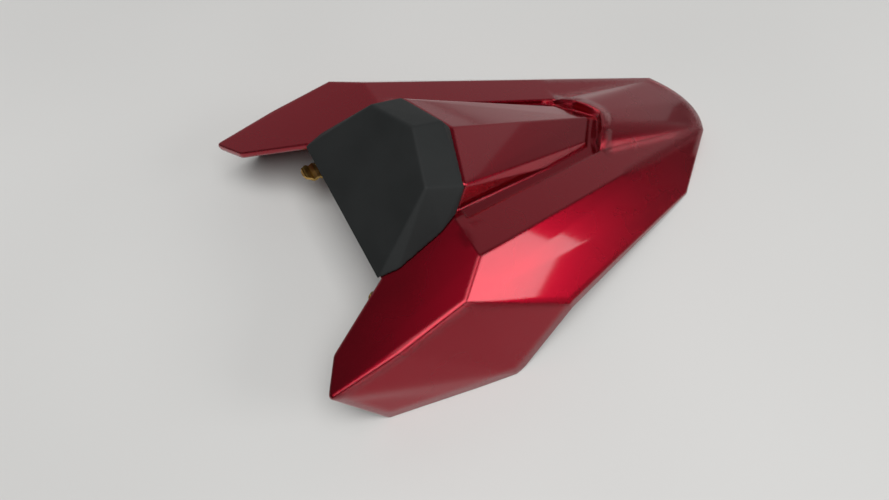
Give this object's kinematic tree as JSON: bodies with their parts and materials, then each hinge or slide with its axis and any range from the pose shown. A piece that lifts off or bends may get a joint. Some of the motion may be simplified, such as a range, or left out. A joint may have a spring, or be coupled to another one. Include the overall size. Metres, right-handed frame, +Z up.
{
  "type": "seat cowl",
  "caption": "Single-seat cowl for a motorbike: faceted glossy shell with two forward wings, a raised hump in a V-ended groove, a black backrest pad and hook and striker fittings below.",
  "frame": {"origin": "middle of the length on the centre plane, at the surface that the cowl rests on", "axes": "+X runs from the wing tips to the tail, which is backwards on the bike, +Y across, and +Z up"},
  "size_m": [0.445, 0.3398, 0.1224],
  "materials": {
    "candy_paint": "metallic candy red under a clear coat",
    "pad_skin": "matte moulded urethane skin",
    "inner_plastic": "matte black",
    "tray_plastic": "fine-grained black",
    "plated_steel": "bright zinc",
    "yellow_zinc": "yellow passivated zinc",
    "black_rubber": "matte",
    "grey_foam": "closed-cell foam"
  },
  "bodies": {
    "root": {"cowl_shell": "candy_paint", "backrest_pad": "pad_skin", "pad_base": "inner_plastic", "pad_screws": "plated_steel", "pad_washers": "plated_steel", "seat_tray": "tray_plastic", "tray_screws": "plated_steel", "hook_bracket_left": "yellow_zinc", "hook_bracket_right": "yellow_zinc", "hook_bolts": "yellow_zinc", "hook_nuts": "yellow_zinc", "striker_plate": "plated_steel", "striker_loop": "plated_steel", "striker_bolts": "plated_steel", "striker_collars": "plated_steel", "striker_nuts": "plated_steel", "front_damper_left": "black_rubber", "front_damper_right": "black_rubber", "rear_damper_left": "black_rubber", "rear_damper_right": "black_rubber", "wing_buffer_left": "grey_foam", "wing_buffer_right": "grey_foam"}
  },
  "joints": []
}
